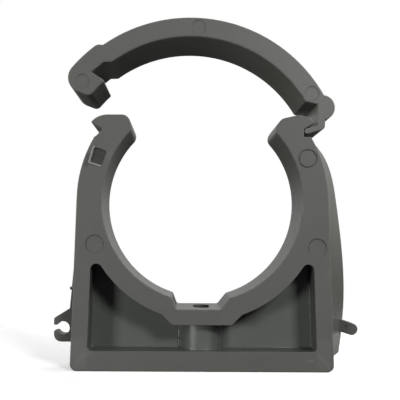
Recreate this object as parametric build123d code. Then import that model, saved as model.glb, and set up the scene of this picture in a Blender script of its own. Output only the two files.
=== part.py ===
from build123d import *
from math import acos, asin, atan2, cos, degrees, radians, sin, sqrt
import os

# Two-piece clip for rigid plastic pipe. X runs across the clip, Y along the pipe, Z up from the foot.
# Millimetres and degrees. The origin is the middle of the underside of the foot.

# Pipe seat and overall form of the saddle
pipe_diameter = 63.0
clip_depth = 20.0
bore_height = 53.55
arm_thickness = 8.0
foot_width = 83.0
foot_corner_radius = 2.2

# Walls of the saddle
base_thickness = 6.4
side_wall = 5.2
bridge_thickness = 6.25
web_thickness = 3.0
pocket_corner_radius = 1.2
pocket_tip_radius = 1.9

# Screw recess in the pipe seat, and the slotted boss under it
recess_floor_left = 8.0
recess_floor_right = 5.9
recess_mouth_left = 9.4
recess_mouth_right = 8.8
recess_depth = 2.4
recess_corner_radius = 1.1
recess_floor_wall = 5.0
recess_shelf_width = 18.6
recess_shelf_chamfer = 3.1
boss_diameter = 14.7
screw_slot_width = 5.2
screw_slot_length = 10.5

# Noses at the tops of the arms: a lip on the pipe side, a barb outside and a notch under the barb.
# The left lip is steep with a round corner, the right lip slopes back as a lead-in.
grip_angle = 45.0
left_grip_angle = 46.3
lip_root_radius = 2.8
lip_height = 4.8
lip_radius = 2.6
lip_lean = 1.9
lead_in_angle = 57.0
lead_in_length = 4.3
lead_in_radius = 3.0
nose_height = 6.85
notch_depth = 2.2
notch_opening = 2.4
left_notch_chamfer = 1.9
barb_reach = 3.45
barb_undercut_angle = 30.0
barb_crown_width = 5.3
barb_edge_radius = 0.4

# Rib that stands out from the right side wall, widest at half depth
rib_rise = 6.85
rib_peak_height = 25.7
rib_foot_rise = 4.5
rib_foot_height = 4.7
rib_equator_rise = 5.35
rib_shoulder_rise = 4.3
rib_top_rise = 3.2
rib_shoulder_angle = 18.4
rib_top_angle = 27.0
rib_sink = 0.5
rib_root = 2.0
rib_front_setback = 0.6

# Coupling that joins clips side by side: an open socket on the left, a tongue on the right
coupling_height = 12.6
coupling_width = 5.0
coupling_clearance = 0.25
tongue_radius = 1.9
tongue_reach = 7.9
tongue_angle = 18.0
socket_offset = 3.95
socket_mouth = 2.0
socket_jaw_reach = 6.9
socket_root_rise = 6.4
socket_jaw_rise = 3.2
socket_drop = 4.5
socket_jaw_radius = 1.2
socket_gusset_rise = 2.0
socket_gusset_height = 55.0
socket_heel_radius = 2.4

# Ejector-pin marks and the gate scar, sunk into the front face of the saddle
ejector_diameter = 6.0
ejector_ring_width = 0.5
mark_depth = 0.3
mark_angle = 22.0
lower_right_mark_shift = 3.4
lower_left_mark_shift = 0.9
gate_angle = 23.0
gate_depth = 0.5
gate_width = 4.1
gate_length = 5.1
gate_corner_radius = 1.2
gate_turn_angle = -18.0

# Strap: a bowed band outside the arms, drawn closed and then swung open
strap_gap = 2.7
strap_thickness = 6.0
strap_rise = 1.3
strap_open_angle = 13.2
strap_mark_diameter = 4.4
strap_mark_depth = 0.12
strap_mark_angles = (46.0, 100.0)

# Snap hook on the left end of the strap
hook_clearance = 0.35
hook_stand_out = 1.25
hook_tail = 3.4
hook_tail_angle = 8.0
hook_shoulder_angle = 42.2
hook_inner_radius = 2.0
hook_outer_radius = 4.8
hook_shoulder_radius = 2.5
hook_shoulder_root_radius = 1.0
hook_mark_angle = 27.9
catch_tip_radius = 0.5
groove_room = 2.2
groove_drop = 0.2
groove_angle = 19.5
groove_head_room = 1.2
groove_head_width = 3.0
groove_end_angle = 40.9

# Hinge hook on the right end of the strap: lobe, neck, and a thin catch that ends in a round bead
bead_radius = 0.9
hinge_clearance = 0.12
neck_gap = 0.3
neck_width = 2.3
neck_corner_radius = 1.5
hinge_head_room = 3.85
lobe_radius = 3.95
lobe_angle = 39.2
lobe_stand_out = 0.7

# Broken edge along the outlines of the front and back faces
edge_break = 0.25

# Derived radii and heights
bore_radius = pipe_diameter / 2
arm_radius = bore_radius + arm_thickness
arm_middle = bore_radius + arm_thickness / 2
half_depth = clip_depth / 2
foot_half = foot_width / 2
seat_bottom = bore_height - bore_radius
recess_floor = seat_bottom - recess_depth
recess_underside = recess_floor - recess_floor_wall
bore_centre = (0.0, bore_height)


def polar(radius, angle, centre=bore_centre):
    """Point at a radius and an angle above +X from a centre, in the X-Z plane."""
    return (centre[0] + radius * cos(radians(angle)), centre[1] + radius * sin(radians(angle)))


def along(point, angle, length):
    """Point reached from another by going a length at an angle above +X."""
    return polar(length, angle, point)


def meet(first, first_angle, second, second_angle):
    """Crossing of two lines, each given by a point and an angle above +X."""
    across = sin(radians(second_angle - first_angle))
    dx = second[0] - first[0]
    dz = second[1] - first[1]
    length = (dx * sin(radians(second_angle)) - dz * cos(radians(second_angle))) / across
    return along(first, first_angle, length)


def half_chord(radius, rise):
    """Half the chord of a circle at a rise above its centre."""
    return sqrt(radius ** 2 - rise ** 2)


def mirrored(shape):
    """The same shape on the other side of the middle of the clip."""
    return mirror(shape, about=Plane.YZ)


def disc(radius, centre):
    """Round face about a centre in the X-Z plane."""
    return Pos(*centre) * Circle(radius)


def round_corner(face, point, radius):
    """Face with the corner nearest a point rounded."""
    corner = face.vertices().sort_by_distance(Vector(*point))[0]
    return fillet(corner, radius)


def slab(face, depth=clip_depth):
    """Solid of an X-Z profile, half its depth on each side of the middle plane."""
    return extrude(Plane.XZ * face, amount=depth / 2, both=True)


def from_front(face, depth):
    """Solid that reaches a depth into the clip from its front face."""
    return extrude(Plane.XZ.offset(half_depth) * face, amount=-depth)


def edge_broken_slab(face):
    """Solid of an X-Z profile through the whole depth, with its front and back outlines tapered off."""
    body = slab(face, clip_depth - 2 * edge_break)
    for side in (1, -1):
        outline = Plane.XZ.offset(side * (half_depth - edge_break)) * face
        body += extrude(outline, amount=side * edge_break, taper=45)
    return body


def soften(body):
    """Body with the outlines of its front and back faces broken."""
    by_depth = body.faces().sort_by(Axis.Y)
    outlines = by_depth[0].outer_wire().edges() + by_depth[-1].outer_wire().edges()
    return chamfer(outlines, edge_break)


# Side wall: a straight line from the foot that runs tangent into the outside of the arm
foot_distance = sqrt(foot_half ** 2 + bore_height ** 2)
tangent_angle = degrees(acos(arm_radius / foot_distance) - atan2(bore_height, foot_half))
side_tangent = polar(arm_radius, tangent_angle)
side_slope = (side_tangent[0] - foot_half) / side_tangent[1]


def wall_x(height):
    """Outside of the straight side wall at a height."""
    return foot_half + side_slope * height


# Right nose, corner by corner
lip_root = polar(bore_radius, grip_angle)
left_lip_root = polar(bore_radius, left_grip_angle)
nose_top = lip_root[1] + lip_height
ledge_height = nose_top - nose_height
ledge_rise = ledge_height - bore_height
ledge_corner = (half_chord(arm_radius, ledge_rise), ledge_height)
notch_low = (ledge_corner[0] - notch_depth, ledge_height)
notch_high = (notch_low[0], ledge_height + notch_opening)
barb_tip = along(notch_high, barb_undercut_angle, barb_reach / cos(radians(barb_undercut_angle)))
crown_edge = (barb_tip[0] - barb_crown_width, nose_top)


def half_profile(root, lip, radius):
    """Right half of the saddle's outline, with a given root and corner of the lip and its rounding."""
    foot_corner = (foot_half, 0.0)
    arm_sweep = degrees(asin(ledge_rise / arm_radius)) - tangent_angle
    half = make_face([
        Polyline((0.0, seat_bottom), (0.0, 0.0), foot_corner, side_tangent),
        CenterArc(bore_centre, arm_radius, tangent_angle, arm_sweep),
        Polyline(ledge_corner, notch_low, notch_high, barb_tip),
        TangentArc(crown_edge, barb_tip, tangent=(1, 0)),
        Polyline(crown_edge, lip, root),
        ThreePointArc(root, polar(bore_radius, 0.0), (0.0, seat_bottom)),
    ])
    half = round_corner(half, foot_corner, foot_corner_radius)
    half = round_corner(half, lip, radius)
    half = round_corner(half, root, lip_root_radius)
    return round_corner(half, barb_tip, barb_edge_radius)


def seat_point(x):
    """Point of the lower half of the pipe seat at a distance from the middle."""
    return (x, bore_height - half_chord(bore_radius, x))


def saddle_profile():
    """Front outline of the saddle, with the pockets still solid."""
    lead_in = along(lip_root, lead_in_angle, lead_in_length)
    profile = half_profile(lip_root, lead_in, lead_in_radius)
    left_lip = (left_lip_root[0] + lip_lean, nose_top)
    left = half_profile(left_lip_root, left_lip, lip_radius)
    left = chamfer(left.vertices().sort_by_distance(Vector(*notch_low))[0], left_notch_chamfer)
    profile += mirrored(left)
    recess = [
        seat_point(-recess_mouth_left),
        (-recess_floor_left, recess_floor),
        (recess_floor_right, recess_floor),
        seat_point(recess_mouth_right),
    ]
    profile -= Polygon(*recess, align=None)
    for corner in recess:
        profile = round_corner(profile, corner, recess_corner_radius)
    return profile


def pocket_profile():
    """Hollow between the foot, the side walls and the underside of the pipe seat."""
    wall_across = side_wall * sqrt(1 + side_slope ** 2)
    floor_corner = (wall_x(base_thickness) - wall_across, base_thickness)
    room = Polygon(
        (0.0, base_thickness),
        floor_corner,
        (wall_x(bore_height) - wall_across, bore_height),
        (0.0, bore_height),
        align=None,
    )
    shelf_edge = (recess_shelf_width / 2, recess_underside)
    shelf_end = (shelf_edge[0] + recess_shelf_chamfer, shelf_edge[1] + recess_shelf_chamfer)
    shelf = Polygon(
        (0.0, recess_underside),
        shelf_edge,
        shelf_end,
        (shelf_end[0], bore_height),
        (0.0, bore_height),
        align=None,
    )
    half = room - disc(bore_radius + bridge_thickness, bore_centre) - shelf
    half = half.faces().sort_by(SortBy.AREA)[-1]
    half = round_corner(half, floor_corner, pocket_corner_radius)
    half = fillet(half.vertices().sort_by(Axis.Y)[-1], pocket_tip_radius)
    return half + mirrored(half)


def rib_section(share, y):
    """Section of the side rib at a depth, with its ridge raised by a share of its full rise."""
    ridge = [
        (wall_x(rib_foot_height) - rib_sink + share * rib_foot_rise, rib_foot_height),
        (wall_x(rib_peak_height) - rib_sink + share * rib_rise, rib_peak_height),
        polar(arm_radius - rib_sink + share * rib_equator_rise, 0.0),
        polar(arm_radius - rib_sink + share * rib_shoulder_rise, rib_shoulder_angle),
        polar(arm_radius - rib_sink + share * rib_top_rise, rib_top_angle),
    ]
    root = [
        polar(arm_radius - rib_root, rib_top_angle),
        polar(arm_radius - rib_root, 0.0),
        (wall_x(rib_foot_height) - rib_root, rib_foot_height),
    ]
    face = make_face([Spline(*ridge), Polyline(ridge[-1], *root, ridge[0])])
    return Plane.XZ.offset(-y) * face


def side_rib():
    """Rib on the right wall, flush near the front and back and swelling to a ridge at half depth."""
    edge = half_depth - rib_front_setback
    return loft([rib_section(0.0, -edge), rib_section(1.0, 0.0), rib_section(0.0, edge)], ruled=True)


def coupling_tongue():
    """Round-ended tongue that slopes down and out from the side rib."""
    wall = wall_x(coupling_height)
    tip = (wall + tongue_reach, coupling_height)
    length = (tongue_reach + rib_root) / cos(radians(tongue_angle))
    bar = Pos(*tip) * Rot(0, 0, -tongue_angle) * Pos(-length / 2, 0) * Rectangle(length, 2 * tongue_radius)
    return slab(bar + disc(tongue_radius, tip), coupling_width)


def coupling_socket():
    """Open C on the left wall that takes the tongue of the next clip."""
    wall = -wall_x(coupling_height)
    centre = (wall - socket_offset, coupling_height)
    jaw = wall - socket_jaw_reach
    root = wall + rib_root
    heel = (jaw, coupling_height - socket_drop)
    jaw_top = (jaw, coupling_height + socket_jaw_rise)
    arm_root = coupling_height + socket_root_rise
    block = Polygon(
        (root, heel[1]),
        (-wall_x(socket_gusset_height) + rib_root, socket_gusset_height),
        (-wall_x(socket_gusset_height), socket_gusset_height),
        (-wall_x(arm_root) - socket_gusset_rise, arm_root),
        jaw_top,
        heel,
        align=None,
    )
    block = round_corner(block, heel, socket_heel_radius)
    block = round_corner(block, jaw_top, socket_jaw_radius)
    mouth = Pos((centre[0] + jaw) / 2 - rib_root, centre[1]) * Rectangle(socket_jaw_reach, socket_mouth)
    return slab(block - disc(tongue_radius + coupling_clearance, centre) - mouth, coupling_width)


def saddle_marks():
    """Ejector-pin marks and the gate scar in the front of the arms."""
    pin = ejector_diameter / 2
    upper_right = polar(arm_middle, mark_angle)
    cuts = from_front(disc(pin, upper_right) - disc(pin - ejector_ring_width, upper_right), mark_depth)
    cuts += from_front(disc(pin, polar(arm_middle + lower_right_mark_shift, -mark_angle)), mark_depth)
    cuts += from_front(disc(pin, polar(arm_middle + lower_left_mark_shift, 180.0 + mark_angle)), mark_depth)
    scar = Rot(0, 0, gate_turn_angle) * RectangleRounded(gate_width, gate_length, gate_corner_radius)
    return cuts + from_front(Pos(*polar(arm_middle, 180.0 - gate_angle)) * scar, gate_depth)


def saddle():
    """Foot, walls, pipe seat, noses and couplings in one moulding."""
    body = edge_broken_slab(saddle_profile())
    pocket = from_front(pocket_profile(), (clip_depth - web_thickness) / 2)
    body -= pocket
    body -= mirror(pocket, about=Plane.XZ)
    boss_height = recess_underside - base_thickness
    body += Pos(0, 0, base_thickness + boss_height / 2) * Cylinder(boss_diameter / 2, boss_height)
    body -= extrude(SlotOverall(screw_slot_length, screw_slot_width, rotation=90), amount=seat_bottom)
    body += side_rib()
    body += coupling_tongue()
    body += coupling_socket()
    return body - saddle_marks()


# Strap in its closed place
strap_inner = arm_radius + strap_gap
strap_outer = strap_inner + strap_thickness
strap_middle = (strap_inner + strap_outer) / 2
strap_centre = (0.0, bore_height + strap_rise)
strap_reach = 2 * strap_outer
hook_inner = arm_radius + hook_clearance
hook_outer = strap_outer + hook_stand_out

# The bead nests under the right barb, clear of the notch root and of the barb by the same gap
bead_seat = bead_radius + hinge_clearance
hinge = meet(
    (notch_high[0] + bead_seat, notch_high[1]),
    90.0,
    along(notch_high, barb_undercut_angle - 90.0, bead_seat),
    barb_undercut_angle,
)

# Inner face of the neck: upright when the strap is open, beside the barb when it is closed
neck_lean = 90.0 + strap_open_angle
neck_side = (barb_tip[0] + neck_gap, barb_tip[1])
neck_top = meet(neck_side, neck_lean, (0.0, nose_top + hinge_head_room), 0.0)


def snap_hook():
    """Hook outside the arm with a groove that takes the barb, drawn on the right."""
    tail_rise = ledge_rise - hook_tail
    tail = (half_chord(hook_inner, tail_rise), bore_height + tail_rise)
    span = Polygon(
        along(tail, hook_tail_angle, -arm_thickness),
        along(tail, hook_tail_angle, strap_reach),
        polar(strap_reach, hook_shoulder_angle, strap_centre),
        strap_centre,
        align=None,
    )
    block = (disc(hook_outer, strap_centre) - disc(hook_inner, bore_centre)) & span
    block = block.faces().sort_by(SortBy.AREA)[-1]
    block = round_corner(block, tail, hook_inner_radius)
    block = fillet(block.vertices().sort_by(Axis.X)[-1], hook_outer_radius)
    block = round_corner(block, polar(hook_outer, hook_shoulder_angle, strap_centre), hook_shoulder_radius)

    corner = (barb_tip[0] + groove_room, barb_tip[1] - groove_drop)
    head = (corner[0] - groove_head_width, nose_top + groove_head_room)
    band_end = polar(strap_inner, groove_end_angle, strap_centre)
    groove = Polygon(
        corner,
        head,
        band_end,
        (0.0, band_end[1]),
        meet(corner, groove_angle, bore_centre, 90.0),
        align=None,
    )
    above_end = Pos(0.0, band_end[1] + strap_reach / 2) * Rectangle(strap_reach, strap_reach)
    block -= groove
    block -= disc(strap_inner, strap_centre) & above_end
    catch_tip = block.vertices().filter_by(lambda vertex: vertex.Y < corner[1]).sort_by(Axis.X)[0]
    return fillet(catch_tip, catch_tip_radius)


def hinge_hook():
    """Neck outside the right barb, thin catch under the barb, and the bead that the strap swings on."""
    neck_outside = along(neck_side, strap_open_angle, neck_width)
    catch_top = along(hinge, barb_undercut_angle + 90.0, bead_radius)
    catch_bottom = along(hinge, barb_undercut_angle - 90.0, bead_radius)
    heel = meet(catch_bottom, barb_undercut_angle, neck_outside, neck_lean)
    hook = Polygon(
        catch_bottom,
        heel,
        along(neck_top, strap_open_angle, neck_width),
        neck_top,
        meet(catch_top, barb_undercut_angle, neck_side, neck_lean),
        catch_top,
        align=None,
    )
    return round_corner(hook, heel, neck_corner_radius) + disc(bead_radius, hinge)


def strap_profile():
    """Closed strap: the band, the lobe at its hinge end, and both hooks."""
    span = Polygon(
        strap_centre,
        polar(strap_reach, lobe_angle, strap_centre),
        (0.0, strap_centre[1] + 2 * strap_reach),
        polar(strap_reach, 180.0 - groove_end_angle, strap_centre),
        align=None,
    )
    band = (disc(strap_outer, strap_centre) - disc(strap_inner, strap_centre)) & span
    lobe = disc(lobe_radius, polar(strap_middle + lobe_stand_out, lobe_angle, strap_centre))
    nose_room = Polygon(
        neck_top,
        (0.0, neck_top[1]),
        (0.0, bore_height),
        meet(neck_side, neck_lean, bore_centre, 0.0),
        align=None,
    )
    profile = band + lobe - nose_room + hinge_hook() + mirrored(snap_hook())
    shoulder_root = polar(strap_outer, 180.0 - hook_shoulder_angle, strap_centre)
    return round_corner(profile, shoulder_root, hook_shoulder_root_radius)


def strap():
    """Strap with its ejector marks, swung open about the bead."""
    body = soften(slab(strap_profile()))
    centres = [polar(strap_middle, angle, strap_centre) for angle in strap_mark_angles]
    centres.append(polar((hook_inner + hook_outer) / 2, 180.0 - hook_mark_angle))
    for centre in centres:
        body -= from_front(disc(strap_mark_diameter / 2, centre), strap_mark_depth)
    axis = (hinge[0], 0.0, hinge[1])
    return Pos(*axis) * Rot(0, strap_open_angle, 0) * Pos(*[-value for value in axis]) * body


os.makedirs("parts", exist_ok=True)
export_step(saddle(), "parts/saddle.step")
export_step(strap(), "parts/strap.step")
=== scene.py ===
"""Looks of an open two-piece pipe clip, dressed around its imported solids."""

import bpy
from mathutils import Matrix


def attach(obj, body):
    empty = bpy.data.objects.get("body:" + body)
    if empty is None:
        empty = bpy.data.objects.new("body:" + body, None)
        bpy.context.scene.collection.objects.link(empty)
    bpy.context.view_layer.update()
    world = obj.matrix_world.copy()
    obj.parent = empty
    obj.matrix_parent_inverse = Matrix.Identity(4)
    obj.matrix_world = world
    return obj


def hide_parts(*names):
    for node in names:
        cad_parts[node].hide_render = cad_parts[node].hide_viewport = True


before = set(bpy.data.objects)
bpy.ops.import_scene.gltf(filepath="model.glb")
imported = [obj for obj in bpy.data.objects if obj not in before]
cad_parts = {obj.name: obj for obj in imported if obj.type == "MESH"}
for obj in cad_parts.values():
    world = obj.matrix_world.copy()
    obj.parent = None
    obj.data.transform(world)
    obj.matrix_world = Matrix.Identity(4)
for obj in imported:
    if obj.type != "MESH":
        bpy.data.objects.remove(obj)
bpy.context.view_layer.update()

import logging
from abc import ABC, abstractmethod
from dataclasses import dataclass, field
from enum import Enum
from math import cos, hypot, radians, sin
from typing import Any, Sequence, Union

import bmesh
import bpy
from mathutils import Matrix, Vector

LOG = logging.getLogger("pipe_clip")
MM = 0.001
PHOTO_PIXELS = 400.0
QUARTER_TURN = radians(90.0)

# A Mix node's sockets have the same names for every type of value, so its colour sockets go by number
MIX_FIRST_COLOUR = 6
MIX_SECOND_COLOUR = 7
MIX_COLOUR_RESULT = 2
NOISE_MIDDLE = 0.5

# Steps around and along the swept trim, and the pattern of torn edges in waves to a metre
RIM_STEPS = 56
RIM_SIDES = 8
SEAM_SIDES = 6
LIP_STEPS = 36
LIP_SIDES = 8
TEAR_SEED = 7.0
TEAR_WAVES = 900.0

Point = tuple[float, float]
Place = tuple[float, float, float]
Colour = tuple[float, float, float]
Value = Union["Sock", float]


class Body(Enum):
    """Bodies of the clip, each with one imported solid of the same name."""

    SADDLE = "saddle"
    STRAP = "strap"


class Sock:
    """An output socket that takes part in Python arithmetic."""

    def __init__(self, graph: "Graph", socket: bpy.types.NodeSocket | None) -> None:
        """Keeps the socket and the graph that new Math nodes go into."""
        self.graph = graph
        self.socket = socket

    def __add__(self, other: Value) -> "Sock":
        """Sum."""
        return self.graph.math("ADD", self, other)

    def __radd__(self, other: Value) -> "Sock":
        """Sum with a number first."""
        return self.graph.math("ADD", other, self)

    def __sub__(self, other: Value) -> "Sock":
        """Difference."""
        return self.graph.math("SUBTRACT", self, other)

    def __rsub__(self, other: Value) -> "Sock":
        """Difference with a number first."""
        return self.graph.math("SUBTRACT", other, self)

    def __mul__(self, other: Value) -> "Sock":
        """Product."""
        return self.graph.math("MULTIPLY", self, other)

    def __rmul__(self, other: Value) -> "Sock":
        """Product with a number first."""
        return self.graph.math("MULTIPLY", other, self)

    def __abs__(self) -> "Sock":
        """Absolute value."""
        return self.graph.math("ABSOLUTE", self)

    def least(self, other: Value) -> "Sock":
        """Smaller of two values."""
        return self.graph.math("MINIMUM", self, other)

    def most(self, other: Value) -> "Sock":
        """Larger of two values."""
        return self.graph.math("MAXIMUM", self, other)

    def ease(self, low: float, high: float) -> "Sock":
        """Smooth step from 0 at low to 1 at high.

        Args:
            low: Value that gives 0.
            high: Value that gives 1, above or below low.

        Returns:
            The eased value.
        """
        if low > high:
            return 1.0 - self.ease(high, low)
        settings = {"interpolation_type": "SMOOTHSTEP"}
        sockets = {"Value": self, "From Min": low, "From Max": high}
        return self.graph.node("ShaderNodeMapRange", settings, sockets, "Result")


class Graph:
    """Nodes of one shader or geometry tree."""

    def __init__(self, tree: bpy.types.NodeTree) -> None:
        """Keeps the tree that nodes are added to."""
        self.tree = tree

    def node(
        self,
        kind: str,
        settings: dict[str, Any] | None = None,
        sockets: dict[Any, Any] | None = None,
        output: str | int = 0,
    ) -> Sock:
        """Adds a node, sets it up and links it.

        Args:
            kind: Blender's type name of the node.
            settings: Properties of the node, set before its sockets.
            sockets: Values or links of its inputs, by name or number.
            output: Name or number of the output to return.

        Returns:
            The chosen output, empty for a node that ends a tree.
        """
        made = self.tree.nodes.new(kind)
        for key, value in (settings or {}).items():
            setattr(made, key, value)
        for key, value in (sockets or {}).items():
            self.feed(made.inputs[key], value)
        return Sock(self, made.outputs[output] if len(made.outputs) else None)

    def feed(self, socket: bpy.types.NodeSocket, value: Any) -> None:
        """Links an output to an input, or sets the input's own value.

        Args:
            socket: Input of a node.
            value: Wrapped output to link, or the plain value to set.
        """
        if isinstance(value, Sock):
            self.tree.links.new(value.socket, socket)
        else:
            socket.default_value = value

    def math(self, operation: str, *values: Value) -> Sock:
        """Adds one Math node."""
        return self.node("ShaderNodeMath", {"operation": operation}, dict(enumerate(values)))

    def scale(self, vector: Sock, factor: Value) -> Sock:
        """A vector or a colour times a number."""
        return self.node("ShaderNodeVectorMath", {"operation": "SCALE"}, {0: vector, "Scale": factor})

    def split(self, vector: Sock) -> tuple[Sock, Sock, Sock]:
        """The three parts of a vector."""
        parts = self.node("ShaderNodeSeparateXYZ", None, {"Vector": vector}).socket.node.outputs
        return Sock(self, parts[0]), Sock(self, parts[1]), Sock(self, parts[2])

    def join(self, x: Value, y: Value, z: Value) -> Sock:
        """A vector from its three parts."""
        return self.node("ShaderNodeCombineXYZ", None, {"X": x, "Y": y, "Z": z})

    def blend(self, factor: Sock, first: Sock | Colour, second: Sock | Colour) -> Sock:
        """A colour between two others.

        Args:
            factor: 0 for the first colour, 1 for the second.
            first: Colour or colour output.
            second: Colour or colour output.

        Returns:
            The mixed colour.
        """
        ends = [value if isinstance(value, Sock) else (*value, 1.0) for value in (first, second)]
        sockets = {"Factor": factor, MIX_FIRST_COLOUR: ends[0], MIX_SECOND_COLOUR: ends[1]}
        return self.node("ShaderNodeMix", {"data_type": "RGBA"}, sockets, MIX_COLOUR_RESULT)


def blank(owner: bpy.types.Material | bpy.types.World) -> Graph:
    """Empties the nodes of a material or a world.

    Args:
        owner: Material or world to start afresh.

    Returns:
        Its graph, ready for new nodes.
    """
    owner.use_nodes = True
    owner.node_tree.nodes.clear()
    return Graph(owner.node_tree)


@dataclass(frozen=True)
class Stroke:
    """A short scuff on a front face, from one point to another, in millimetres; with a strength below 0 it
    is painted shade and a dent in the bump.
    """

    start: Point
    end: Point
    width: float
    strength: float

    def mask(self, x: Sock, z: Sock) -> Sock:
        """Strength of the scuff around its line.

        Args:
            x: Distance across the clip in millimetres.
            z: Height in millimetres.

        Returns:
            The stroke's strength on its line, fading to 0 at its width.
        """
        length = hypot(self.end[0] - self.start[0], self.end[1] - self.start[1])
        ux = (self.end[0] - self.start[0]) / length
        uz = (self.end[1] - self.start[1]) / length
        dx = x - self.start[0]
        dz = z - self.start[1]
        run = (dx * ux + dz * uz).most(0.0).least(length)
        off_x = abs(dx - run * ux)
        off_z = abs(dz - run * uz)
        return (off_x + off_z).ease(self.width, 0.0) * self.strength


@dataclass(frozen=True)
class Patch:
    """A rectangular area of a front face, in millimetres and degrees."""

    centre: Point
    half: Point
    turn: float
    strength: float
    fade: float = 0.3

    def mask(self, x: Sock, z: Sock) -> Sock:
        """Strength of the patch inside its borders.

        Args:
            x: Distance across the clip in millimetres.
            z: Height in millimetres.

        Returns:
            The patch's strength inside, fading to 0 at its borders.
        """
        turn = radians(self.turn)
        dx = x - self.centre[0]
        dz = z - self.centre[1]
        across = abs(dx * cos(turn) + dz * sin(turn))
        up = abs(dz * cos(turn) - dx * sin(turn))
        inside = across.ease(self.half[0], self.half[0] - self.fade)
        return inside * up.ease(self.half[1], self.half[1] - self.fade) * self.strength


@dataclass(frozen=True)
class Hollow:
    """The moulded pockets under the pipe seat, with their own gloss, painted light in a lighter, cooler
    tone on the web and painted shade in a darker tone on the walls, in millimetres.
    """

    tone: Colour
    wall_tone: Colour
    roughness: float
    half_width: float
    seat_radius: float
    heights: Point
    fade: float = 0.4

    def mask(self, x: Sock, z: Sock, radius: Sock, outer: Sock) -> Sock:
        """1 inside the pockets.

        Args:
            x: Distance across the clip.
            z: Height.
            radius: Distance from the middle of the pipe seat.
            outer: 1 on the front and back faces.

        Returns:
            The mask.
        """
        low, high = self.heights
        level = z.ease(low - self.fade, low) * z.ease(high + self.fade, high)
        between = abs(x).ease(self.half_width + self.fade, self.half_width) * level
        return between * radius.ease(self.seat_radius - self.fade, self.seat_radius) * (1.0 - outer)


@dataclass(frozen=True)
class Speckle:
    """One size of noise in a finish, set apart from the others by a step of the seed."""

    scale: float
    detail: float
    seed_step: float

    def swing(self, graph: Graph, place: Sock, seed: float) -> Sock:
        """Noise that swings about 0.

        Args:
            graph: Graph that takes the nodes.
            place: Vector that the noise is read at.
            seed: Seed of the finish.

        Returns:
            The noise value.
        """
        sockets = {"Vector": place, "W": seed + self.seed_step, "Scale": self.scale, "Detail": self.detail}
        return graph.node("ShaderNodeTexNoise", {"noise_dimensions": "4D"}, sockets) - NOISE_MIDDLE


@dataclass(frozen=True)
class Gloss:
    """Roughness of the faces and the walls, and how far noise and rubbed edges shift it."""

    face: float = 0.55
    wall: float = 0.36
    cloud: float = 0.12
    fine: float = 0.08
    edge: float = -0.06


@dataclass(frozen=True)
class Relief:
    """Fine bumps as shares of one height, and the rounding of sharp edges, in millimetres."""

    fine: float = 0.5
    pores: float = 0.5
    scuff: float = 1.5
    strength: float = 0.35
    height: float = 0.04
    edge_radius: float = 0.3
    edge_samples: int = 4


@dataclass(frozen=True)
class Reading:
    """What a finish knows of a point on it: its place in millimetres, masks and noise."""

    place: Sock
    x: Sock
    z: Sock
    radius: Sock
    front: Sock
    outer: Sock
    edge: Sock
    painted_wall_light: Sock
    broad: Sock
    cloud: Sock
    fine: Sock
    streak: Sock
    scuff: Value


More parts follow.
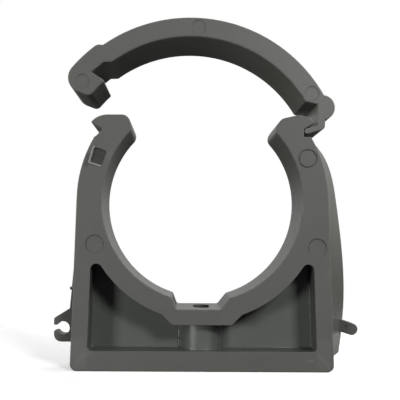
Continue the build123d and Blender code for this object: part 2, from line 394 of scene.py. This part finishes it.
@dataclass(frozen=True)
class MouldedGrey:
    """Grey rigid plastic: matt grained faces, smoother walls, flow marks and scuffs, with light and shade
    painted into its colour: highlights on the edges, light on the walls near the front, light growing
    towards one side, light and shade in the pockets and some of the listed patches.

    Places and depths are in millimetres, and each span gives where a mask is 0 and where it is 1.
    """

    name: str
    tone: Colour
    wall_tone: Colour
    centre: Point
    strokes: tuple[Stroke, ...] = ()
    patches: tuple[Patch, ...] = ()
    hollow: Hollow | None = None
    gloss: Gloss = Gloss()
    relief: Relief = Relief()
    specular: float = 0.5
    front_slope: Point = (0.85, 0.97)
    wall_depth: Point = (9.2, 9.6)
    edge_depth: Point = (9.7, 9.8)
    painted_wall_light_depth: Point = (7.6, 9.9)
    broad: Speckle = Speckle(0.07, 3.0, 0.0)
    cloud: Speckle = Speckle(0.35, 4.0, 1.0)
    fine: Speckle = Speckle(2.6, 3.0, 2.0)
    streak: Speckle = Speckle(1.0, 3.0, 3.0)
    pores: Speckle = Speckle(9.0, 2.0, 4.0)
    streak_stretch: Place = (5.0, 0.5, 0.12)
    mottle: float = 0.14
    cloud_mottle: float = 0.084
    flow: float = 0.09
    grain: float = 0.05
    # Painted highlight: edges made paler, standing in for the light that they catch
    painted_edge_highlight: float = 0.3
    painted_wall_light_gain: float = 0.22
    painted_wall_light_base: float = 0.5
    painted_wall_light_spread: float = 2.0
    scuff_gain: float = 0.55
    scuff_level: float = 0.7
    right_painted_light: float = 0.0
    right_painted_light_span: Point = (0.0, 40.0)
    seed: float = 3.0

    def read(self, graph: Graph) -> Reading:
        """Adds the nodes for place, masks and noise.

        Args:
            graph: Graph of the finish.

        Returns:
            The sockets that the finish is mixed from.
        """
        coords = graph.node("ShaderNodeTexCoord", output="Object")
        normal = Sock(graph, coords.socket.node.outputs["Normal"])
        place = graph.scale(coords, 1.0 / MM)
        x, y, z = graph.split(place)
        dx = x - self.centre[0]
        dz = z - self.centre[1]
        radius = graph.math("SQRT", dx * dx + dz * dz)
        around, outward, along = self.streak_stretch
        lane = graph.join(graph.math("ARCTAN2", dz, dx) * around, radius * outward, y * along)
        front = abs(graph.split(normal)[1]).ease(*self.front_slope)
        cloud = self.cloud.swing(graph, place, self.seed)
        fine = self.fine.swing(graph, place, self.seed)
        scuff: Value = 0.0
        for stroke in self.strokes:
            scuff = stroke.mask(x, z) + scuff
        if self.strokes:
            scuff = scuff * front * (self.scuff_level + fine)
        # Painted light on the walls near the front, broken into blotches by noise
        near_front_wall = abs(y).ease(*self.painted_wall_light_depth) * (1.0 - front)
        return Reading(
            place=place,
            x=x,
            z=z,
            radius=radius,
            front=front,
            outer=abs(y).ease(*self.wall_depth),
            edge=abs(y).ease(*self.edge_depth) * (1.0 - front),
            painted_wall_light=near_front_wall * (self.painted_wall_light_base + cloud * self.painted_wall_light_spread),
            broad=self.broad.swing(graph, place, self.seed),
            cloud=cloud,
            fine=fine,
            streak=self.streak.swing(graph, lane, self.seed),
            scuff=scuff,
        )

    def level(self, at: Reading) -> Sock:
        """How light or dark the plastic is at a point, with 1 for its plain tone, including the painted
        light and shade.

        Args:
            at: What the finish knows of the point.

        Returns:
            The factor of the tone.
        """
        level = 1.0 + at.broad * self.mottle + at.cloud * self.cloud_mottle
        level = level + at.streak * self.flow + at.fine * self.grain
        # Painted highlight on the edges and painted light on the walls near the front
        level = level + at.edge * self.painted_edge_highlight + at.painted_wall_light * self.painted_wall_light_gain + at.scuff * self.scuff_gain
        for patch in self.patches:
            level = level + patch.mask(at.x, at.z) * at.front * (1.0 + at.cloud)
        # Painted light: the colour grows lighter towards +X, standing in for more light on the strap's
        # right-hand side
        if self.right_painted_light:
            level = level * (1.0 + at.x.ease(*self.right_painted_light_span) * self.right_painted_light)
        return level

    def bumps(self, graph: Graph, at: Reading) -> Sock:
        """Normal with softened edges, grain, pores and scuffs.

        Args:
            graph: Graph of the finish.
            at: What the finish knows of the point.

        Returns:
            The normal.
        """
        relief = self.relief
        pores = self.pores.swing(graph, at.place, self.seed)
        sockets = {
            "Strength": relief.strength,
            "Distance": relief.height * MM,
            "Height": at.fine * relief.fine + pores * relief.pores + at.scuff * relief.scuff,
            "Normal": graph.node(
                "ShaderNodeBevel", {"samples": relief.edge_samples}, {"Radius": relief.edge_radius * MM}
            ),
        }
        return graph.node("ShaderNodeBump", None, sockets)

    def material(self) -> bpy.types.Material:
        """Builds the finish's node material.

        Returns:
            The material.
        """
        made = bpy.data.materials.new(self.name)
        graph = blank(made)
        at = self.read(graph)
        gloss = self.gloss
        hue = graph.blend(at.front, self.wall_tone, self.tone)
        rough = gloss.wall + at.outer * (gloss.face - gloss.wall)
        rough = rough + at.cloud * gloss.cloud + at.fine * gloss.fine + at.edge * gloss.edge
        if self.hollow:
            inside = self.hollow.mask(at.x, at.z, at.radius, at.outer)
            rough = rough + inside * (self.hollow.roughness - gloss.wall)
            # Painted light on the pocket web and painted shade on the pocket walls and the sides of the
            # boss
            hue = graph.blend(inside, hue, graph.blend(at.front, self.hollow.wall_tone, self.hollow.tone))
        sockets = {
            "Base Color": graph.scale(hue, self.level(at)),
            "Roughness": rough,
            "Normal": self.bumps(graph, at),
            "Specular IOR Level": self.specular,
        }
        shader = graph.node("ShaderNodeBsdfPrincipled", None, sockets)
        graph.node("ShaderNodeOutputMaterial", None, {"Surface": shader})
        return made


def placed(name: str, mesh: bpy.types.Mesh) -> bpy.types.Object:
    """A new object at the origin that shows a mesh.

    Args:
        name: Name of the object and the mesh.
        mesh: Mesh to show.

    Returns:
        The object.
    """
    mesh.name = name
    piece = bpy.data.objects.new(name, mesh)
    bpy.context.scene.collection.objects.link(piece)
    return piece


def baked(piece: bpy.types.Object) -> bpy.types.Mesh:
    """A plain mesh of what an object's modifiers make of it."""
    view = bpy.context.evaluated_depsgraph_get()
    return bpy.data.meshes.new_from_object(piece.evaluated_get(view), depsgraph=view)


def edge_mesh(name: str, edges: Sequence[bmesh.types.BMEdge]) -> bpy.types.Mesh:
    """A mesh of edges alone, copied from a larger one.

    Args:
        name: Name of the mesh.
        edges: Edges to copy.

    Returns:
        The mesh.
    """
    index: dict[bmesh.types.BMVert, int] = {}
    pairs = [[index.setdefault(vert, len(index)) for vert in edge.verts] for edge in edges]
    mesh = bpy.data.meshes.new(name)
    mesh.from_pydata([vert.co.copy() for vert in index], pairs, [])
    return mesh


def path_mesh(name: str, chains: Sequence[Sequence[Place]]) -> bpy.types.Mesh:
    """Chains of edges through points given in millimetres.

    Args:
        name: Name of the mesh.
        chains: Points of each chain in order.

    Returns:
        The mesh, with edges alone.
    """
    points: list[Place] = []
    pairs: list[tuple[int, int]] = []
    for chain in chains:
        pairs += [(len(points) + step, len(points) + step + 1) for step in range(len(chain) - 1)]
        points += chain
    mesh = bpy.data.meshes.new(name)
    mesh.from_pydata([(x * MM, y * MM, z * MM) for x, y, z in points], pairs, [])
    return mesh


class Recipe:
    """A Geometry Nodes tree with named inputs, run once on an object and baked to a plain mesh."""

    def __init__(self, name: str) -> None:
        """Starts a tree with a geometry input, a material input and a geometry output.

        Args:
            name: Name of the tree.
        """
        self.tree = bpy.data.node_groups.new(name, "GeometryNodeTree")
        self.graph = Graph(self.tree)
        self.keys: dict[str, str] = {}
        self.tree.interface.new_socket("Geometry", in_out="INPUT", socket_type="NodeSocketGeometry")
        self.tree.interface.new_socket("Geometry", in_out="OUTPUT", socket_type="NodeSocketGeometry")
        self.source = self.graph.node("NodeGroupInput")
        self.ask("Material", "NodeSocketMaterial")

    def ask(self, name: str, kind: str = "NodeSocketFloat") -> Sock:
        """Adds a named input.

        Args:
            name: Name of the input.
            kind: Blender's type name of its socket.

        Returns:
            The input's value in the tree.
        """
        made = self.tree.interface.new_socket(name, in_out="INPUT", socket_type=kind)
        self.keys[name] = made.identifier
        return self.take(name)

    def take(self, name: str) -> Sock:
        """One of the tree's inputs, by name."""
        return Sock(self.graph, self.source.socket.node.outputs[name])

    def sweep(self, path: Sock, radius: Sock, sides: int) -> Sock:
        """A round bar along a path.

        Args:
            path: Curve to follow.
            radius: Radius of the bar.
            sides: Faces around the bar.

        Returns:
            The bar as a mesh.
        """
        size = {"Resolution": sides, "Radius": radius}
        ring = self.graph.node("GeometryNodeCurvePrimitiveCircle", None, size)
        sockets = {"Curve": path, "Profile Curve": ring, "Fill Caps": True}
        return self.graph.node("GeometryNodeCurveToMesh", None, sockets)

    def close(self, geometry: Sock) -> None:
        """Ends the tree with real geometry, smooth shading and the material.

        Args:
            geometry: What the tree has made.
        """
        real = self.graph.node("GeometryNodeRealizeInstances", None, {"Geometry": geometry})
        soft = self.graph.node("GeometryNodeSetShadeSmooth", None, {"Geometry": real})
        sockets = {"Geometry": soft, "Material": self.take("Material")}
        dressed = self.graph.node("GeometryNodeSetMaterial", None, sockets)
        self.graph.node("NodeGroupOutput", None, {"Geometry": dressed})

    def bake(self, seed_mesh: bpy.types.Mesh, name: str, values: dict[str, Any]) -> bpy.types.Object:
        """Runs the tree on a mesh.

        Args:
            seed_mesh: Points or edges that the tree starts from.
            name: Name of the piece.
            values: Settings of the tree's named inputs.

        Returns:
            A new object with the result as a plain mesh.
        """
        carrier = bpy.data.objects.new(name + "_seed", seed_mesh)
        bpy.context.scene.collection.objects.link(carrier)
        modifier = carrier.modifiers.new(name, "NODES")
        modifier.node_group = self.tree
        for key, value in values.items():
            modifier[self.keys[key]] = value
        carrier.update_tag()
        mesh = baked(carrier)
        bpy.data.objects.remove(carrier)
        return placed(name, mesh)


def rim_recipe() -> Recipe:
    """Builds the tree that sets a thin raised ring around each ejector-pin mark.

    Returns:
        The tree, which starts from points.
    """
    recipe = Recipe("pin_rims")
    mark = recipe.ask("Mark Radius")
    rim = recipe.ask("Rim Radius")
    graph = recipe.graph
    circle = graph.node("GeometryNodeCurvePrimitiveCircle", None, {"Resolution": RIM_STEPS, "Radius": mark})
    facing = {"Geometry": circle, "Rotation": (QUARTER_TURN, 0.0, 0.0)}
    upright = graph.node("GeometryNodeTransform", None, facing)
    copies = {"Points": recipe.take("Geometry"), "Instance": recipe.sweep(upright, rim, RIM_SIDES)}
    recipe.close(graph.node("GeometryNodeInstanceOnPoints", None, copies))
    return recipe


def seam_recipe() -> Recipe:
    """Builds the tree that lays a fine bead along a line of the moulding.

    Returns:
        The tree, which starts from edges.
    """
    recipe = Recipe("parting_seam")
    bead = recipe.ask("Bead Radius")
    path = recipe.graph.node("GeometryNodeMeshToCurve", None, {"Mesh": recipe.take("Geometry")})
    recipe.close(recipe.sweep(path, bead, SEAM_SIDES))
    return recipe


def ragged_recipe() -> Recipe:
    """Builds the tree that lays an uneven torn lip along a path.

    Returns:
        The tree, which starts from edges.
    """
    recipe = Recipe("ragged_lip")
    lip = recipe.ask("Lip Radius")
    spread = recipe.ask("Raggedness")
    graph = recipe.graph
    path = graph.node("GeometryNodeMeshToCurve", None, {"Mesh": recipe.take("Geometry")})
    fine = graph.node("GeometryNodeResampleCurve", None, {"Curve": path, "Count": LIP_STEPS})
    pattern = {"Vector": graph.node("GeometryNodeInputPosition"), "W": TEAR_SEED, "Scale": TEAR_WAVES}
    torn = graph.node("ShaderNodeTexNoise", {"noise_dimensions": "4D"}, pattern, "Color")
    middle = {0: torn, 1: (NOISE_MIDDLE, NOISE_MIDDLE, NOISE_MIDDLE)}
    centred = graph.node("ShaderNodeVectorMath", {"operation": "SUBTRACT"}, middle)
    stray = {"Geometry": fine, "Offset": graph.scale(centred, spread)}
    rough = graph.node("GeometryNodeSetPosition", None, stray)
    recipe.close(recipe.sweep(rough, lip, LIP_SIDES))
    return recipe


@dataclass
class Moulding(ABC):
    """One moulded piece of the clip: its solid and the marks that the mould left on it, in millimetres."""

    body: Body
    finish: MouldedGrey
    marks: tuple[Point, ...]
    mark_radius: float
    half_depth: float = 10.0
    rim_radius: float = 0.09
    rim_sink: float = 0.04
    seam_radius: float = 0.05
    smooth_angle: float = 38.0
    join_distance: float = 0.002
    material: bpy.types.Material = field(init=False)

    def __post_init__(self) -> None:
        """Makes the moulding's own material."""
        self.material = self.finish.material()

    @abstractmethod
    def on_seam(self, start: Vector, end: Vector) -> bool:
        """Whether a piece of the middle outline carries the parting line."""

    def dress(
        self, piece: bpy.types.Object, finish: bpy.types.Material | None = None
    ) -> bpy.types.Object:
        """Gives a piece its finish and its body.

        Args:
            piece: Object to dress.
            finish: Material of the piece, the moulding's own if none is given.

        Returns:
            The same object.
        """
        piece.data.materials.clear()
        piece.data.materials.append(finish or self.material)
        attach(piece, self.body.value)
        return piece

    def joined(self) -> bmesh.types.BMesh:
        """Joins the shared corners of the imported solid's triangles.

        Returns:
            A copy of the solid, to be freed after use.
        """
        grid = bmesh.new()
        grid.from_mesh(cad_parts[self.body.value].data)
        bmesh.ops.remove_doubles(grid, verts=grid.verts, dist=self.join_distance * MM)
        return grid

    def build_body(self) -> bpy.types.Object:
        """Smooth-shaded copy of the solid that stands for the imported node.

        Returns:
            The piece.
        """
        grid = self.joined()
        corners = [vert.co.copy() for vert in grid.verts]
        grid.verts.index_update()
        faces = [[vert.index for vert in face.verts] for face in grid.faces]
        grid.free()
        mesh = bpy.data.meshes.new(self.body.value + "_moulding")
        mesh.from_pydata(corners, [], faces)
        mesh.shade_smooth()
        mesh.set_sharp_from_angle(angle=radians(self.smooth_angle))
        piece = placed(self.body.value + "_moulding", mesh)
        weighted = piece.modifiers.new("flats", "WEIGHTED_NORMAL")
        weighted.keep_sharp = True
        mesh = baked(piece)
        piece.modifiers.clear()
        piece.data = mesh
        mesh.name = piece.name
        self.dress(piece)
        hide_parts(self.body.value)
        return piece

    def build_seam(self, recipe: Recipe) -> bpy.types.Object:
        """Parting line around the middle of the piece.

        Args:
            recipe: Tree that lays the bead.

        Returns:
            The piece.
        """
        grid = self.joined()
        every = grid.verts[:] + grid.edges[:] + grid.faces[:]
        cut = bmesh.ops.bisect_plane(grid, geom=every, plane_co=(0.0, 0.0, 0.0), plane_no=(0.0, 1.0, 0.0))
        edges = [item for item in cut["geom_cut"] if isinstance(item, bmesh.types.BMEdge)]
        kept = [edge for edge in edges if self.on_seam(edge.verts[0].co, edge.verts[1].co)]
        path = edge_mesh(self.body.value + "_seam_path", kept)
        grid.free()
        values = {"Material": self.material, "Bead Radius": self.seam_radius * MM}
        return self.dress(recipe.bake(path, self.body.value + "_seam", values))

    def build_rims(self, recipe: Recipe) -> bpy.types.Object:
        """Thin rims that the ejector pins left on the front.

        Args:
            recipe: Tree that sets a ring at each mark.

        Returns:
            The piece.
        """
        depth = -self.half_depth + self.rim_sink
        points = bpy.data.meshes.new(self.body.value + "_marks")
        points.from_pydata([(x * MM, depth * MM, z * MM) for x, z in self.marks], [], [])
        values = {
            "Material": self.material,
            "Mark Radius": self.mark_radius * MM,
            "Rim Radius": self.rim_radius * MM,
        }
        return self.dress(recipe.bake(points, self.body.value + "_pin_rims", values))


@dataclass
class Saddle(Moulding):
    """Foot, arms, pipe seat and couplings, with the torn gate, rounded pocket corners and tags of flash."""

    torn: MouldedGrey = field(kw_only=True)
    whitened: MouldedGrey = field(kw_only=True)
    wall_seam: Point = (20.0, 52.0)
    rib_seam: Point = (17.5, 70.0)
    seam_reach: float = 39.0
    gate: Point = (-32.75, 67.45)
    gate_half: Point = (2.25, 2.75)
    gate_turn: float = -18.0
    lip_reach: float = 0.8
    lip_radius: float = 0.32
    lip_raggedness: float = 0.55
    web_half: float = 1.5
    web_facing: float = 0.99
    corner_radius: float = 0.3
    crease: Point = (-7.15, -1.95)
    crease_radius: float = 0.2
    crease_raggedness: float = 0.5
    flash_heights: tuple[float, ...] = (7.4, 8.5, 10.3, 11.4)
    flash_half: float = 0.35
    tag: Point = (-42.95, 25.4)
    tag_half: float = 0.5
    tag_radius: float = 0.3

    def on_seam(self, start: Vector, end: Vector) -> bool:
        """Whether a stretch lies on the ridge of a side wall, which alone carries the parting line.

        Args:
            start: First end of the stretch, in metres.
            end: Its other end.

        Returns:
            True on the two ridges.
        """
        middle = (start + end) / (2.0 * MM)
        low, high = self.rib_seam if middle.x > 0.0 else self.wall_seam
        return abs(middle.x) > self.seam_reach and low < middle.z < high

    def on_web(self, face: bmesh.types.BMFace) -> bool:
        """Whether a face belongs to the front or the back of the web."""
        off = abs(abs(face.calc_center_median().y) - self.web_half * MM)
        return abs(face.normal.y) > self.web_facing and off < self.join_distance * MM

    def torn_edge(
        self,
        recipe: Recipe,
        name: str,
        chains: Sequence[Sequence[Place]],
        radius: float,
        raggedness: float,
        finish: bpy.types.Material,
    ) -> bpy.types.Object:
        """An uneven lip along chains of points.

        Args:
            recipe: Tree that lays the uneven lip.
            name: Name of the piece.
            chains: Points of each stretch in order.
            radius: Radius of the lip.
            raggedness: How far the lip strays from its path.
            finish: Material of the piece.

        Returns:
            The piece.
        """
        values = {"Material": finish, "Lip Radius": radius * MM, "Raggedness": raggedness * MM}
        return self.dress(recipe.bake(path_mesh(name + "_path", chains), name, values), finish)

    def build_gate_lip(self, recipe: Recipe) -> bpy.types.Object:
        """Torn lip on the left and the bottom of the gate scar.

        Args:
            recipe: Tree that lays the uneven lip.

        Returns:
            The piece.
        """
        half_x, half_z = self.gate_half
        corners = [(-half_x, half_z), (-half_x, -half_z), (half_x * self.lip_reach, -half_z)]
        turn = radians(self.gate_turn)
        path: list[Place] = []
        for dx, dz in corners:
            x = self.gate[0] + dx * cos(turn) - dz * sin(turn)
            z = self.gate[1] + dx * sin(turn) + dz * cos(turn)
            path.append((x, -self.half_depth, z))
        return self.torn_edge(
            recipe, "gate_lip", [path], self.lip_radius, self.lip_raggedness, self.whitened.material()
        )

    def build_pocket_corners(self, recipe: Recipe) -> bpy.types.Object:
        """Rounding in the corners between the web and the walls of the pockets.

        Args:
            recipe: Tree that lays a bead along the corners.

        Returns:
            The piece.
        """
        grid = self.joined()
        webs = {face for face in grid.faces if self.on_web(face)}
        rims = [edge for edge in grid.edges if sum(face in webs for face in edge.link_faces) == 1]
        path = edge_mesh("web_outline", rims)
        grid.free()
        values = {"Material": self.material, "Bead Radius": self.corner_radius * MM}
        return self.dress(recipe.bake(path, "pocket_corners", values))

    def build_crease_flash(self, recipe: Recipe) -> bpy.types.Object:
        """Torn flash up the left crease between the screw boss and the web.

        Args:
            recipe: Tree that lays the uneven lip.

        Returns:
            The piece.
        """
        x, y = self.crease
        bits = [[(x, y, z - self.flash_half), (x, y, z + self.flash_half)] for z in self.flash_heights]
        return self.torn_edge(
            recipe, "crease_flash", bits, self.crease_radius, self.crease_raggedness, self.torn.material()
        )

    def build_wall_tag(self, recipe: Recipe) -> bpy.types.Object:
        """Small tag of flash on the ridge of the left wall.

        Args:
            recipe: Tree that lays the uneven lip.

        Returns:
            The piece.
        """
        x, z = self.tag
        path = [(x, 0.0, z - self.tag_half), (x, 0.0, z + self.tag_half)]
        return self.torn_edge(recipe, "wall_tag", [path], self.tag_radius, self.tag_radius, self.material)


@dataclass
class Strap(Moulding):
    """Bowed strap with a snap hook on the left and a hinge hook on the right."""

    seam_inside: float = 46.6

    def on_seam(self, start: Vector, end: Vector) -> bool:
        """Whether a stretch lies on the outside of the strap, which alone carries the parting line.

        Args:
            start: First end of the stretch, in metres.
            end: Its other end.

        Returns:
            True on the outside.
        """
        middle = (start + end) / (2.0 * MM)
        x, z = self.finish.centre
        return hypot(middle.x - x, middle.z - z) > self.seam_inside


@dataclass(frozen=True)
class Lamp:
    """A soft square lamp, placed by its bearing to the right of the camera and its height, in degrees."""

    name: str
    bearing: float
    height: float
    size: float
    watts: float
    distance: float = 0.9

    def build(self, target: Vector) -> None:
        """Adds the lamp.

        Args:
            target: Point that the lamp faces.
        """
        bearing = radians(self.bearing)
        height = radians(self.height)
        away = Vector((sin(bearing) * cos(height), -cos(bearing) * cos(height), sin(height)))
        light = bpy.data.lights.new(self.name, "AREA")
        light.size = self.size
        light.energy = self.watts
        lamp = bpy.data.objects.new(self.name, light)
        lamp.location = target + away * self.distance
        lamp.rotation_euler = away.to_track_quat("Z", "Y").to_euler()
        bpy.context.scene.collection.objects.link(lamp)


def grey(level: float) -> tuple[float, float, float, float]:
    """An opaque grey."""
    return level, level, level, 1.0


def ray_masks(graph: Graph) -> tuple[Sock, Sock]:
    """Tells the rays that see a floor or a surround apart.

    Args:
        graph: Graph of the floor or the surround.

    Returns:
        Two masks: 1 for camera rays, and 1 for glossy and transmitted rays.
    """
    outputs = graph.node("ShaderNodeLightPath").socket.node.outputs
    names = ("Is Camera Ray", "Is Glossy Ray", "Is Transmission Ray")
    camera, glossy, sent = (Sock(graph, outputs[name]) for name in names)
    return camera, glossy.most(sent)


@dataclass(frozen=True)
class Studio:
    """Camera, lamps, pale floor and white surround, in metres, degrees and the photograph's pixels."""

    eye: Place = (-0.006668, -0.199394, 0.04024)
    pan: float = -0.211
    tilt: float = -0.039
    roll: float = 0.248
    focal_pixels: float = 604.926
    axis_pixel: Point = (178.8, 243.9)
    sensor: float = 36.0
    near_clip: float = 0.01
    target: Place = (0.0, 0.0, 0.05)
    floor_size: float = 1.6
    floor_fade: Point = (0.1, 0.18)
    floor_tone: float = 0.7
    floor_glow: float = 0.58
    floor_bounce: float = 0.06
    floor_mirror: Point = (0.0, 0.05)
    mirror_white: float = 0.58
    ambient: float = 0.015
    behind: Point = (-0.2, 0.25)
    above: Point = (-0.06, 0.12)
    lamps: tuple[Lamp, ...] = (
        Lamp("left_lamp", bearing=-45.0, height=3.0, size=0.2, watts=4.2),
        Lamp("right_lamp", bearing=32.0, height=30.0, size=0.2, watts=5.1),
        Lamp("right_side_lamp", bearing=80.0, height=25.0, size=0.3, watts=3.4),
        Lamp("left_side_lamp", bearing=-85.0, height=5.0, size=0.3, watts=0.8),
        Lamp("back_lamp", bearing=165.0, height=50.0, size=0.4, watts=3.0),
    )

    def build_camera(self) -> None:
        """Camera at the photograph's viewing angle."""
        data = bpy.data.cameras.new("camera")
        data.sensor_width = self.sensor
        data.lens = self.focal_pixels * self.sensor / PHOTO_PIXELS
        data.shift_x = (PHOTO_PIXELS / 2 - self.axis_pixel[0]) / PHOTO_PIXELS
        data.shift_y = (self.axis_pixel[1] - PHOTO_PIXELS / 2) / PHOTO_PIXELS
        data.clip_start = self.near_clip
        pan, tilt, roll = radians(self.pan), radians(self.tilt), radians(self.roll)
        right = Vector((cos(pan), -sin(pan), 0.0))
        ahead = Vector((sin(pan), cos(pan), 0.0))
        level = Vector((0.0, 0.0, 1.0))
        forward = cos(tilt) * ahead + sin(tilt) * level
        upward = cos(tilt) * level - sin(tilt) * ahead
        across = cos(roll) * right + sin(roll) * upward
        upright = cos(roll) * upward - sin(roll) * right
        turn = Matrix((across, upright, -forward)).transposed()
        camera = bpy.data.objects.new("camera", data)
        camera.matrix_world = Matrix.Translation(Vector(self.eye)) @ turn.to_4x4()
        bpy.context.scene.collection.objects.link(camera)
        bpy.context.scene.camera = camera

    def build_floor(self) -> None:
        """Pale floor that takes the clip's shadow and fades into the white surround."""
        half = self.floor_size / 2
        corners = [(-half, -half, 0.0), (half, -half, 0.0), (half, half, 0.0), (-half, half, 0.0)]
        mesh = bpy.data.meshes.new("floor")
        mesh.from_pydata(corners, [], [(0, 1, 2, 3)])
        floor = placed("floor", mesh)
        # The two left lamps reach below the floor, which would cut part of their light off
        floor.visible_shadow = False
        made = bpy.data.materials.new("pale_floor")
        graph = blank(made)
        x, y, _ = graph.split(graph.node("ShaderNodeTexCoord", output="Object"))
        reach = graph.math("SQRT", x * x + y * y)
        lit = graph.node("ShaderNodeBsdfDiffuse", None, {"Color": grey(self.floor_tone)})
        glow = graph.node("ShaderNodeEmission", None, {"Strength": self.floor_glow})
        shown = graph.node("ShaderNodeAddShader", None, {0: lit, 1: glow})
        clear = graph.node("ShaderNodeBsdfTransparent")
        rim = reach.ease(*self.floor_fade)
        faded = graph.node("ShaderNodeMixShader", None, {0: rim, 1: shown, 2: clear})
        dim = graph.node("ShaderNodeBsdfDiffuse", None, {"Color": grey(self.floor_bounce)})
        camera, mirrored = ray_masks(graph)
        pale = camera.most(mirrored * y.ease(*self.floor_mirror))
        mixed = graph.node("ShaderNodeMixShader", None, {0: pale, 1: dim, 2: faded})
        graph.node("ShaderNodeOutputMaterial", None, {"Surface": mixed})
        mesh.materials.append(made)

    def build_world(self) -> None:
        """White to the eye, white behind and above in reflections, and dim to the object."""
        world = bpy.data.worlds.new("surround")
        graph = blank(world)
        _, deep, high = graph.split(graph.node("ShaderNodeTexCoord", output="Generated"))
        camera, mirrored = ray_masks(graph)
        white = camera.most(mirrored * deep.ease(*self.behind) * high.ease(*self.above) * self.mirror_white)
        strength = self.ambient + white * (1.0 - self.ambient)
        sky = graph.node("ShaderNodeBackground", None, {"Color": grey(1.0), "Strength": strength})
        graph.node("ShaderNodeOutputWorld", None, {"Surface": sky})
        bpy.context.scene.world = world

    def build(self) -> None:
        """Camera, lamps, floor, surround and plain view settings."""
        self.build_camera()
        for lamp in self.lamps:
            lamp.build(Vector(self.target))
        self.build_floor()
        self.build_world()
        bpy.context.scene.view_settings.view_transform = "Standard"


def polar(centre: Point, radius: float, angle: float) -> Point:
    """Point at a radius and an angle above +X from a centre."""
    return centre[0] + radius * cos(radians(angle)), centre[1] + radius * sin(radians(angle))


def swung(point: Point, hinge: Point, angle: float) -> Point:
    """Swings a point of the closed strap open.

    Args:
        point: Place on the closed strap.
        hinge: Middle of the bead that the strap turns on.
        angle: Degrees from closed.

    Returns:
        The point's place on the open strap.
    """
    dx = point[0] - hinge[0]
    dz = point[1] - hinge[1]
    turn = radians(angle)
    return hinge[0] + dx * cos(turn) + dz * sin(turn), hinge[1] - dx * sin(turn) + dz * cos(turn)


# Places across the clip and up from its foot, in millimetres, and the angle that the strap stands open
BORE_CENTRE: Point = (0.0, 53.55)
BAND_CENTRE: Point = (0.0, 54.85)
HINGE: Point = (32.75, 75.585)
OPEN_ANGLE = 13.2

# Ejector-pin marks by radius and angle: on the arms, on the closed strap's band and on its hook
ARM_MARKS = ((38.9, -22.0), (36.4, 202.0))
BAND_MARKS = ((45.2, 46.0), (45.2, 100.0))
HOOK_MARK = (44.65, 152.1)
CLOSED_MARKS = (*(polar(BAND_CENTRE, *mark) for mark in BAND_MARKS), polar(BORE_CENTRE, *HOOK_MARK))
SADDLE_MARKS = tuple(polar(BORE_CENTRE, *mark) for mark in ARM_MARKS)
STRAP_MARKS = tuple(swung(mark, HINGE, OPEN_ANGLE) for mark in CLOSED_MARKS)

# Scuffs beside the gate and on the ends of the foot, and painted shade of a pit on the neck of the right
# coupling, with a small dent in the bump
SCUFFS = (
    Stroke((-29.5, 69.0), (-29.2, 66.4), 0.35, 0.5),
    Stroke((-28.8, 68.6), (-28.7, 66.8), 0.3, 0.4),
    Stroke((33.2, 3.6), (34.8, 3.55), 0.45, 1.0),
    Stroke((-35.1, 6.1), (-35.0, 5.2), 0.35, 1.0),
    Stroke((-34.1, 5.2), (-33.8, 4.3), 0.3, 0.6),
    Stroke((-36.3, 5.6), (-39.6, 2.4), 1.6, 0.35),
    Stroke((36.3, 5.6), (39.8, 2.2), 1.6, 0.35),
    # Painted shade of a pit, with a small dent in the bump
    Stroke((46.8, 13.7), (47.3, 13.5), 0.6, -1.2),
)

# Painted shade on the gate floor and in a narrow band beside it, and the paler ends of the foot
PATCHES = (
    # Painted shade on the floor of the gate scar
    Patch((-32.7, 67.45), (1.95, 2.45), -18.0, -0.68),
    # Painted shade in a narrow band left of the gate lip
    Patch((-36.2, 66.2), (0.9, 2.4), -14.0, -0.34, 0.6),
    Patch((-38.6, 5.6), (3.4, 6.0), 0.0, 0.18, 2.2),
    Patch((38.6, 5.6), (3.4, 6.0), 0.0, 0.13, 2.2),
)

# Pockets: the lighter web tone is painted light, and the darker wall tone is painted shade on the pocket
# walls and the boss
POCKETS = Hollow(
    tone=(0.104, 0.111, 0.103),
    wall_tone=(0.07, 0.075, 0.07),
    roughness=0.33,
    half_width=37.0,
    seat_radius=37.2,
    heights=(6.2, 36.0),
)

WALL_TONE: Colour = (0.096, 0.098, 0.084)
TORN_TONE: Colour = (0.3, 0.31, 0.29)
WHITENED_TONE: Colour = (0.2, 0.205, 0.185)
SADDLE_GREY = MouldedGrey(
    "saddle_grey",
    tone=(0.094, 0.097, 0.088),
    wall_tone=WALL_TONE,
    centre=BORE_CENTRE,
    strokes=SCUFFS,
    patches=PATCHES,
    hollow=POCKETS,
)
STRAP_GREY = MouldedGrey(
    "strap_grey",
    tone=(0.097, 0.1, 0.091),
    wall_tone=WALL_TONE,
    centre=swung(BAND_CENTRE, HINGE, OPEN_ANGLE),
    # Painted light on the strap's right-hand side
    right_painted_light=0.2,
    seed=11.0,
)
TORN_GREY = MouldedGrey("torn_grey", TORN_TONE, TORN_TONE, BORE_CENTRE)
WHITENED_GREY = MouldedGrey("whitened_grey", WHITENED_TONE, WHITENED_TONE, BORE_CENTRE)


def main() -> None:
    """Builds the clip and its studio, and reports each piece."""
    logging.basicConfig(level=logging.INFO, format="%(name)s: %(message)s")
    Studio().build()
    saddle = Saddle(
        Body.SADDLE, SADDLE_GREY, SADDLE_MARKS, mark_radius=3.0, torn=TORN_GREY, whitened=WHITENED_GREY
    )
    strap = Strap(Body.STRAP, STRAP_GREY, STRAP_MARKS, mark_radius=2.2, rim_radius=0.05)
    rims = rim_recipe()
    seam = seam_recipe()
    ragged = ragged_recipe()
    pieces: list[bpy.types.Object] = []
    for moulding in (saddle, strap):
        pieces += [moulding.build_body(), moulding.build_seam(seam), moulding.build_rims(rims)]
    pieces += [
        saddle.build_gate_lip(ragged),
        saddle.build_pocket_corners(seam),
        saddle.build_crease_flash(ragged),
        saddle.build_wall_tag(ragged),
    ]
    for piece in pieces:
        LOG.info("%s: %d faces", piece.name, len(piece.data.polygons))


if __name__ == "__main__":
    main()
